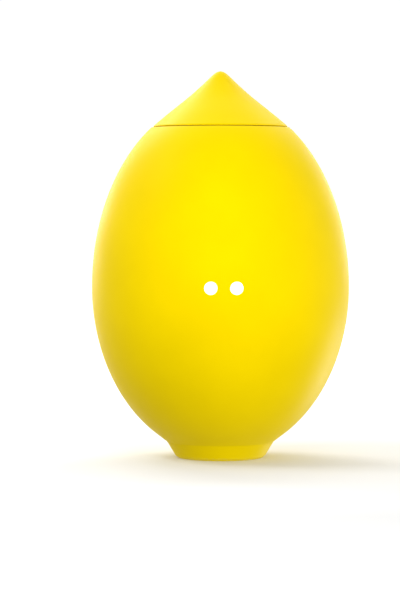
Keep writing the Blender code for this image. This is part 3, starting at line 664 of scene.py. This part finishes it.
def pillars(name, places):
    """Pillars along Y, each given as (x, z, radius, start y, end y), joined and trimmed to the wall."""
    joined = None
    for i, (x, z, radius, y0, y1) in enumerate(places):
        piece = rod(f"{name}_{i}", x, z, radius, y0, y1, 40)
        joined = combine(joined, "UNION", piece) if joined else piece
    return combine(joined, "INTERSECT", wall_core())


def screw_places():
    """The (x, z) of each shell screw, and the half gap between its pillars."""
    found = []
    for node in sorted(SLOT_OF):
        if node.startswith("shell_screw"):
            middle = centre(node)
            half_gap = PARTING_HALF_GAP if middle.z > WIDEST_Z else LOWER_PILLAR_HALF_GAP
            found.append((middle.x, middle.z, half_gap))
    return found


def front_shell():
    mesh = lathe("front_shell_moulding", shell_profile(), closed=True, half=-1)
    shell = add_object("front_shell_moulding", mesh)
    board_front = low("circuit_board").y
    board_screws = [(centre(n).x, centre(n).z) for n in ("board_screw_left", "board_screw_right")]
    posts = [(x, z, FRONT_PILLAR_RADIUS, -gap, -BODY_RADIUS) for x, z, gap in screw_places()]
    posts += [(x, z, BOARD_POST_RADIUS, board_front - 0.3, -BODY_RADIUS) for x, z in board_screws]
    combine(shell, "UNION", pillars("front_pillar", posts))
    holes = []
    for i, (x, z, _) in enumerate(screw_places()):
        holes.append(rod(f"pilot_{i}", x, z, SCREW_PILOT_RADIUS, 1.0, -SCREW_PILOT_DEPTH, 24))
    for i, (x, z) in enumerate(board_screws):
        end = board_front - BOARD_PILOT_DEPTH
        holes.append(rod(f"board_pilot_{i}", x, z, BOARD_PILOT_RADIUS, board_front, end, 24))
    inside, outside = 10.0 - BODY_RADIUS, -5.0 - BODY_RADIUS
    for side in ("left", "right"):
        middle = centre(f"window_{side}")
        hole = rod(f"window_hole_{side}", middle.x, middle.z, WINDOW_HOLE_RADIUS, inside, outside, 48)
        holes.append(hole)
    combine(shell, "DIFFERENCE", *holes)
    show("front_shell_moulding", shell, "front_shell", finish_of("front_shell"), 32.0)


def rear_shell():
    mesh = lathe("rear_shell_moulding", shell_profile(), closed=True, half=1, on_lip=on_inner_side)
    shell = add_object("rear_shell_moulding", mesh)
    posts = [(x, z, REAR_PILLAR_RADIUS, gap, BODY_RADIUS) for x, z, gap in screw_places()]
    combine(shell, "UNION", pillars("rear_pillar", posts))
    wells = []
    for i, (x, z, _) in enumerate(screw_places()):
        wells.append(rod(f"well_{i}", x, z, WELL_RADIUS, WELL_FLOOR_Y, BODY_RADIUS + 3.0, 56))
        wells.append(rod(f"through_{i}", x, z, SCREW_CLEARANCE_RADIUS, -1.0, WELL_FLOOR_Y + 1.0, 32))
    combine(shell, "DIFFERENCE", *wells)
    show("rear_shell_moulding", shell, "rear_shell", finish_of("rear_shell"), 32.0)


# ---------------------------------------------------------------- cap, neck ring and their seals


def ridge_height(z, angle, phase, height):
    """Height of a three-start thread ridge at a point, with run-outs at both ends."""
    half_width, flank, run_out = 0.62, 0.28, 0.5
    turns = angle / (2 * math.pi)
    along = (z - phase - THREAD_LEAD * turns) / THREAD_PITCH
    distance = abs(along - round(along)) * THREAD_PITCH
    crest = max(0.0, min(1.0, (half_width - distance) / flank))
    ends = min(z - THREAD_Z[0] + run_out, THREAD_Z[1] + run_out - z) / run_out
    ends = max(0.0, min(1.0, ends))
    return height * crest * crest * (3 - 2 * crest) * ends


def cap():
    """The pointed tip, hollow inside, with the threaded skirt that goes down into the neck ring."""
    controls = [
        (15.85, SEAT_Z),
        (12.2, 80.1),
        (7.4, 83.95),
        (4.3, 86.7),
        (2.0, 88.9),
        (0.9, 89.75),
        (0.0, TIP_Z),
    ]
    line = smooth_path([(radius, 0.0, z) for radius, z in controls], 12)
    outline = [(max(0.0, p.x), p.z) for p in reversed(line)]
    rim = rounded([outline[-3], outline[-1], (SKIRT_RADIUS, SEAT_Z)], 0.22, segments=5)[1:-1]
    outside = spaced((SKIRT_RADIUS, SEAT_Z), (SKIRT_RADIUS, SKIRT_BOTTOM_Z + 0.5), THREAD_STEP)
    bore_start = (SKIRT_BORE_RADIUS, 71.0)
    foot = rounded(
        [
            outside[-1],
            (SKIRT_RADIUS, SKIRT_BOTTOM_Z, 0.3),
            (SKIRT_BORE_RADIUS, SKIRT_BOTTOM_Z, 0.3),
            bore_start,
        ],
        0.0,
    )[1:-1]
    inside = rounded([bore_start, (SKIRT_BORE_RADIUS, 80.3), (3.2, 84.0), (0.0, TIP_Z - 3.6)], 1.2)
    profile = outline[:-2] + rim + outside + foot + inside

    def thread(angle, radius, z):
        if abs(radius - SKIRT_RADIUS) > 0.01:
            return 0.0
        return ridge_height(z, angle, THREAD_PITCH / 2, 0.55)

    show("cap_moulding", lathe("cap_moulding", profile, offset=thread), "cap", finish_of("cap"), 32.0)


def neck_ring():
    """The threaded ring, with a flange that sits in the shells' groove."""
    play = 0.3
    outer, flange = NECK_BORE_RADIUS - play, high("neck_ring").x
    top, bottom = high("neck_ring").z, low("neck_ring").z
    outside = rounded(
        [
            (RING_BORE_RADIUS, top - 1.0),
            (RING_BORE_RADIUS, top, 0.4),
            (outer, top),
            (outer, NECK_GROOVE_Z[1] - play),
            (flange, NECK_GROOVE_Z[1] - play),
            (flange, NECK_GROOVE_Z[0] + play),
            (outer, NECK_GROOVE_Z[0] + play),
            (outer, bottom),
            (RING_BORE_RADIUS, bottom),
            (RING_BORE_RADIUS, bottom + 1.0),
        ],
        0.15,
    )
    bore = spaced((RING_BORE_RADIUS, bottom + 1.0), (RING_BORE_RADIUS, top - 1.0), THREAD_STEP)[1:-1]

    def thread(angle, radius, z):
        if abs(radius - RING_BORE_RADIUS) > 0.01:
            return 0.0
        return -ridge_height(z, angle, 0.0, 0.45)

    mesh = lathe("neck_ring_moulding", outside + bore, closed=True, offset=thread)
    show("neck_ring_moulding", mesh, "neck_ring", finish_of("neck_ring"))


def washer(name, node, inner, crown):
    """A rubber washer with rounded lips."""
    bottom, top = low(node).z, high(node).z
    outer = high(node).x
    section = rounded([(outer, top), (outer, bottom), (inner, bottom), (inner, top)], crown, closed=True)
    show(name, lathe(name, section, closed=True), node, finish_of(node))


def cap_disc():
    """The disc that closes the cap's hollow, with a shallow recess and a moulding gate in its underside."""
    top, bottom, radius = high("cap_disc").z, low("cap_disc").z, high("cap_disc").x
    recess = bottom + 0.35
    gate = bottom + 0.1
    profile = rounded(
        [
            (0.0, top),
            (radius, top, 0.2),
            (radius, bottom, 0.2),
            (6.2, bottom, 0.1),
            (6.0, recess, 0.1),
            (1.2, recess, 0.1),
            (1.0, gate, 0.1),
            (0.0, gate),
        ],
        0.0,
    )
    show("cap_disc_moulding", lathe("cap_disc_moulding", profile), "cap_disc", finish_of("cap_disc"))


# ---------------------------------------------------------------- rattle chamber


def chamber_floor():
    """The dished floor that gathers the balls, with a flat rim on the shells' ledge."""
    rim_top, radius = high("chamber_floor").z, high("chamber_floor").x
    rim_bottom = rim_top - FLOOR_THICKNESS
    centre_z = rim_top - DISH_RADIUS**2 / (2 * DISH_CURVATURE)
    rings = 24
    upper = []
    for i in range(rings + 1):
        r = DISH_RADIUS * i / rings
        upper.append((r, centre_z + r * r / (2 * DISH_CURVATURE)))
    rim = rounded(
        [upper[-1], (radius, rim_top, 0.25), (radius, rim_bottom, 0.25), (DISH_RADIUS, rim_bottom)],
        0.0,
    )[1:-1]
    lower = [(r, z - FLOOR_THICKNESS) for r, z in reversed(upper)]
    mesh = lathe("chamber_floor_moulding", upper + rim + lower)
    show("chamber_floor_moulding", mesh, "chamber_floor", finish_of("chamber_floor"))


def steel_shot():
    """The loose balls, each a piece of its own where the frame has it."""
    for node in sorted(name for name in SLOT_OF if name.startswith("shot_")):
        middle = centre(node)
        radius = (high(node).z - low(node).z) / 2
        bm = bmesh.new()
        matrix = Matrix.Translation(middle * MM)
        bmesh.ops.create_icosphere(bm, subdivisions=4, radius=radius * MM, matrix=matrix)
        show(f"{node}_ball", finished_mesh(node, bm, 0.0001), node, finish_of(node), 60.0)


# ---------------------------------------------------------------- windows and lamps


def turned_to_front(mesh, x, z):
    """Moves a piece turned about Z so that its +Z points to the front, -Y."""
    mesh.transform(Matrix.Translation(Vector((x, 0.0, z)) * MM) @ Matrix.Rotation(math.pi / 2, 4, "X"))
    return mesh


def window(side):
    """A slightly domed lens in the shell's hole, with a wider flange behind the wall."""
    node = f"window_{side}"
    middle, front, back = centre(node), -low(node).y, -high(node).y
    lens_radius, flange_radius, flange_front = 1.43, high(node).x - middle.x, back + 0.6
    profile = rounded(
        [
            (0.0, front),
            (0.75, front - 0.012),
            (lens_radius, front - 0.05, 0.10),
            (lens_radius, flange_front, 0.1),
            (flange_radius, flange_front, 0.12),
            (flange_radius, back, 0.12),
            (0.0, back),
        ],
        0.0,
    )
    lens = turned_to_front(lathe(f"{node}_lens", profile, MEDIUM), middle.x, middle.z)
    show(f"{node}_lens", lens, node, finish_of(node))


def lamp(side):
    """A domed lamp with a collar at its base."""
    node = f"lamp_{side}"
    middle, front, back = centre(node), -low(node).y, -high(node).y
    dome = [
        (LAMP_RADIUS * math.sin(a), front - LAMP_RADIUS + LAMP_RADIUS * math.cos(a))
        for a in np.linspace(0.0, math.pi / 2, 12)
    ]
    collar_top = back + COLLAR_HEIGHT
    base = rounded(
        [
            dome[-1],
            (LAMP_RADIUS, collar_top, 0.08),
            (LAMP_COLLAR_RADIUS, collar_top, 0.1),
            (LAMP_COLLAR_RADIUS, back, 0.1),
            (0.0, back),
        ],
        0.0,
    )
    resin = turned_to_front(lathe(f"{node}_dome", dome + base[1:], MEDIUM), middle.x, middle.z)
    show(f"{node}_dome", resin, node, finish_of(node))


# ---------------------------------------------------------------- screws


def crosshead_screw(node, shank_radius, head_radius, head_height, thread_pitch):
    """A pan-head screw that points to the front, with a rolled thread and a tapered cross recess."""
    middle = centre(node)
    tip, top = -low(node).y, -high(node).y
    seat = top + head_height
    rim_height = 0.5
    crown_start = seat - rim_height
    shank = spaced((shank_radius, tip - 1.6 * shank_radius), (shank_radius, seat + 0.8), 0.12)
    head = rounded(
        [
            (shank_radius, seat + 0.2),
            (shank_radius, seat),
            (head_radius, seat, 0.12),
            (head_radius, crown_start, 0.1),
        ],
        0.0,
    )
    crown = [
        (head_radius * math.cos(a), crown_start - (head_height - rim_height) * math.sin(a))
        for a in np.linspace(0.05, math.pi / 2, 9)
    ]
    crown[-1] = (0.0, top)
    point = [(0.0, tip), (shank_radius * 0.35, tip - 0.1)]
    profile = point + shank + head[1:] + crown

    def thread(angle, radius, z):
        if abs(radius - shank_radius) > 0.001 or z < seat + 0.6 or z > tip - shank_radius:
            return 0.0
        along = z / thread_pitch - angle / (2 * math.pi)
        off_crest = abs(along - round(along)) * 2
        return -0.22 * shank_radius * min(1.0, off_crest * 1.6)

    screw = add_object(node, lathe(node, profile, 40, offset=thread))
    arm, half_width, depth = head_radius * 0.62, head_radius * 0.14, head_height * 0.62
    for turn in (0.0, math.pi / 2):
        slot = block("recess", (-arm, arm), (-half_width, half_width), (top - 1.0, top + depth), turn=turn)
        combine(screw, "DIFFERENCE", slot)
    turned_to_front(screw.data, middle.x, middle.z)
    show(f"{node}_body", screw, node, finish_of(node), 30.0)


# ---------------------------------------------------------------- battery pack


def battery_door():
    """A turn-lock door with a coin slot below and three lugs on its plug."""
    bottom, top = low("battery_door").z, high("battery_door").z
    radius = high("battery_door").x
    head_top, plug_radius = 1.8, 5.9
    slot_half_length, slot_half_width, slot_depth = 5.5, 0.9, 1.0
    lug_reach, lug_half_width, lug_z, lug_count = 6.8, 1.2, (4.8, 5.7), 3
    profile = rounded(
        [
            (0.0, top),
            (plug_radius, top, 0.3),
            (plug_radius, head_top, 0.1),
            (radius, head_top, 0.12),
            (radius, bottom, 0.28),
            (0.0, bottom),
        ],
        0.0,
        segments=5,
    )
    door = add_object("battery_door_moulding", lathe("battery_door_moulding", profile))
    slot = block(
        "coin_slot",
        (-slot_half_length, slot_half_length),
        (-slot_half_width, slot_half_width),
        (bottom - slot_depth, bottom + slot_depth),
        bevel=0.18,
    )
    combine(door, "DIFFERENCE", slot)
    lugs = []
    for i in range(lug_count):
        turn = math.radians(90 + 360 // lug_count * i)
        across = (-lug_half_width, lug_half_width)
        lugs.append(block(f"lug_{i}", (plug_radius - 1.0, lug_reach), across, lug_z, 0.12, turn))
    combine(door, "UNION", *lugs)
    show("battery_door_moulding", door, "battery_door", finish_of("battery_door"), 32.0)


def button_cell(node):
    """A cell's can with its crimped edge, the gasket's groove and the smaller cap."""
    bottom, top, radius = low(node).z, high(node).z, high(node).x
    profile = rounded(
        [
            (0.0, top),
            (radius - 1.5, top, 0.25),
            (radius - 1.15, top - 0.45, 0.1),
            (radius - 0.85, top - 0.35, 0.1),
            (radius - 0.1, top - 0.35, 0.3),
            (radius, top - 0.9, 0.3),
            (radius, bottom, 0.5),
            (radius - 2.2, bottom, 0.05),
            (radius - 2.3, bottom + 0.06, 0.05),
            (0.0, bottom + 0.06),
        ],
        0.0,
    )
    show(f"{node}_can", lathe(f"{node}_can", profile, 96), node, finish_of(node))


def door_contact():
    """The disc under the cells, with a raised middle."""
    top, bottom, radius = high("door_contact").z, low("door_contact").z, high("door_contact").x
    profile = rounded(
        [
            (0.0, top),
            (1.6, top, 0.1),
            (radius, top - 0.08, 0.08),
            (radius, bottom, 0.05),
            (0.0, bottom),
        ],
        0.0,
    )
    show("door_contact_disc", lathe("door_contact_disc", profile), "door_contact", finish_of("door_contact"))


def coil(node, bottom_radius, top_radius, wire, turns, y):
    """A coil spring round an upright line at x = 0, whose radius may grow with height."""
    bottom, top = low(node).z + wire, high(node).z - wire
    count = round(turns * 36)
    points = []
    for i in range(count + 1):
        t = i / count
        angle = 2 * math.pi * turns * t
        radius = bottom_radius + (top_radius - bottom_radius) * t
        z = bottom + (top - bottom) * t
        points.append((radius * math.cos(angle), y + radius * math.sin(angle), z))
    show(f"{node}_coil", tube(f"{node}_coil", points, wire, 12), node, finish_of(node), 60.0)


def wires():
    """The two leads from the battery holder to the back of the circuit board."""
    face = high("circuit_board").y + 1.0
    red = [
        (9.3, 0.0, 25.6),
        (10.4, -3.0, 27.5),
        (10.2, -9.0, 29.5),
        (9.0, -14.5, 29.8),
        (6.6, face, 31.2),
    ]
    black = [
        (0.0, 0.0, 30.1),
        (-2.6, -2.4, 30.9),
        (-6.2, -7.6, 31.4),
        (-7.4, -13.2, 30.4),
        (-6.4, face, 31.2),
    ]
    for node, route in (("wire_positive", red), ("wire_negative", black)):
        lead = tube(f"{node}_lead", smooth_path(route, 12), WIRE_RADIUS, 20)
        show(f"{node}_lead", lead, node, finish_of(node), 60.0)


def capacitor():
    """A can with the groove that crimps it round its seal."""
    node = "capacitor"
    middle, front, back = centre(node), -low(node).y, -high(node).y
    radius = high(node).x - middle.x
    profile = rounded(
        [
            (0.0, front),
            (radius, front, 0.15),
            (radius, front - 0.7, 0.1),
            (radius - 0.12, front - 0.9, 0.1),
            (radius, front - 1.1, 0.1),
            (radius, back, 0.25),
            (0.0, back),
        ],
        0.0,
    )
    can = turned_to_front(lathe("capacitor_can", profile, MEDIUM), middle.x, middle.z)
    show("capacitor_can", can, node, finish_of(node))


# ---------------------------------------------------------------- camera, light and floor


def aim(obj, target):
    direction = Vector(target) - obj.location
    obj.rotation_mode = "QUATERNION"
    obj.rotation_quaternion = direction.to_track_quat("-Z", "Y")


def camera():
    """A long lens a little above the middle of the object, which stands right of the picture's centre."""
    data = bpy.data.cameras.new("camera")
    data.lens = 146.7
    data.sensor_width = 36.0
    data.clip_start, data.clip_end = 0.01, 50.0
    obj = add_object("camera", data)
    turned, distance, eye_z = math.radians(1.5), 563.0, 60.0
    obj.location = Vector((-distance * math.sin(turned), -distance * math.cos(turned), eye_z)) * MM
    right_of_centre, looks_at_z = 4.76, 37.65
    aim(obj, Vector((-right_of_centre, 0.0, looks_at_z)) * MM)
    bpy.context.scene.camera = obj


def soft_light(name, turned, elevation, power, size=(250, 250), distance=600):
    """A rectangular light aimed at the object. It stands turned degrees from the front, towards +X."""
    data = bpy.data.lights.new(name, "AREA")
    data.shape = "RECTANGLE"
    data.size, data.size_y = size[0] * MM, size[1] * MM
    data.energy = power
    obj = add_object(name, data)
    around, up = math.radians(turned), math.radians(elevation)
    away = Vector((math.sin(around) * math.cos(up), -math.cos(around) * math.cos(up), math.sin(up)))
    target = Vector((0.0, 0.0, TIP_Z / 2))
    obj.location = (target + away * distance) * MM
    aim(obj, target * MM)
    obj.visible_camera = False


def studio():
    """An even sky, a key and a fill in front, and a ring of softer lights behind that pale the outline."""
    soft_light("key_left", -80, 45, 1.40)
    soft_light("fill_right", 40, 6, 1.10, size=(360, 80))
    soft_light("behind_left_high", -150, 40, 1.30)
    soft_light("behind_left_low", -150, 10, 0.70)
    soft_light("behind_right_high", 150, 40, 0.55)
    soft_light("behind_right_low", 150, 10, 0.50)
    soft_light("behind_top", 180, 55, 1.00, size=(300, 300))
    soft_light("bounce_right", 135, -20, 0.90, size=(250, 200))
    soft_light("front_glow", 2, 8, 0.024, size=(36, 36), distance=101)
    world = bpy.data.worlds.new("studio")
    bpy.context.scene.world = world
    world.use_nodes = True
    background = world.node_tree.nodes["Background"]
    background.inputs["Color"].default_value = (1.0, 1.0, 1.0, 1.0)
    background.inputs["Strength"].default_value = 0.607
    bpy.context.scene.view_settings.view_transform = "Standard"


def floor():
    """A round, pale floor that curves up at its edge into a white backdrop, with a painted glow that grows
    from near the middle out to the backdrop.
    """
    radius, rise = 1500.0, 900.0
    flat = radius - rise
    profile = [(0.0, 0.0), (200.0, 0.0), (flat, 0.0)]
    for angle in np.linspace(0.1, math.pi / 2, 16):
        profile.append((flat + rise * math.sin(angle), rise - rise * math.cos(angle)))
    obj = add_object("floor", lathe("floor", profile, 96))
    n = Nodes("pale_floor")
    tone = n.remap(n.noise(60.0, 2.0), 0.3, 0.7, 0.0, 1.0)
    base = n.colours(tone, (0.70, 0.70, 0.70), (0.72, 0.72, 0.72))
    n.colour_and_roughness(base, n.remap(tone, 0.0, 1.0, 0.8, 0.9))
    from_middle = n.add("ShaderNodeVectorMath", operation="LENGTH")
    n.link(n.place, from_middle.inputs[0])
    # painted glow: the floor's emission grows with distance from the middle, so the backdrop reads white and
    # the floor near the object is dimmer
    glow_starts, glow_full = 100.0 * MM, flat * MM
    glow = n.remap(from_middle.outputs["Value"], glow_starts, glow_full, 0.06, 0.56)
    n.link(glow, n.shader.inputs["Emission Strength"])
    n.set(Emission_Color=(1.0, 1.0, 1.0, 1.0), Specular_IOR_Level=0.0)
    obj.data.materials.append(n.material)
    obj.data.shade_smooth()
    clearance = 0.05
    obj.location.z = -clearance * MM
    obj.visible_diffuse = False  # the even sky lights the object from below instead
    obj.visible_shadow = False


# ---------------------------------------------------------------- assembly


def build():
    camera()
    studio()
    floor()
    for node, obj in frame["nodes"].items():
        obj.data.materials.clear()
        obj.data.materials.append(finish_of(node))
    front_shell()
    rear_shell()
    cap()
    neck_ring()
    washer("cap_gasket_rubber", "cap_gasket", inner=10.65, crown=0.25)
    cap_disc()
    chamber_floor()
    steel_shot()
    for side in ("left", "right"):
        window(side)
        lamp(side)
    for node in sorted(SLOT_OF):
        if node.startswith("shell_screw"):
            crosshead_screw(node, shank_radius=1.15, head_radius=2.2, head_height=1.5, thread_pitch=1.0)
        elif node.startswith("board_screw"):
            crosshead_screw(node, shank_radius=0.7, head_radius=1.9, head_height=1.2, thread_pitch=0.6)
        elif node.startswith("button_cell"):
            button_cell(node)
    battery_door()
    washer("door_gasket_rubber", "door_gasket", inner=7.0, crown=0.15)
    door_contact()
    coil("contact_spring", bottom_radius=2.2, top_radius=4.4, wire=SPRING_WIRE, turns=2.5, y=0.0)
    coil("switch_spring", bottom_radius=1.55, top_radius=1.55, wire=SWITCH_WIRE, turns=6, y=SWITCH_Y)
    wires()
    capacitor()


build()
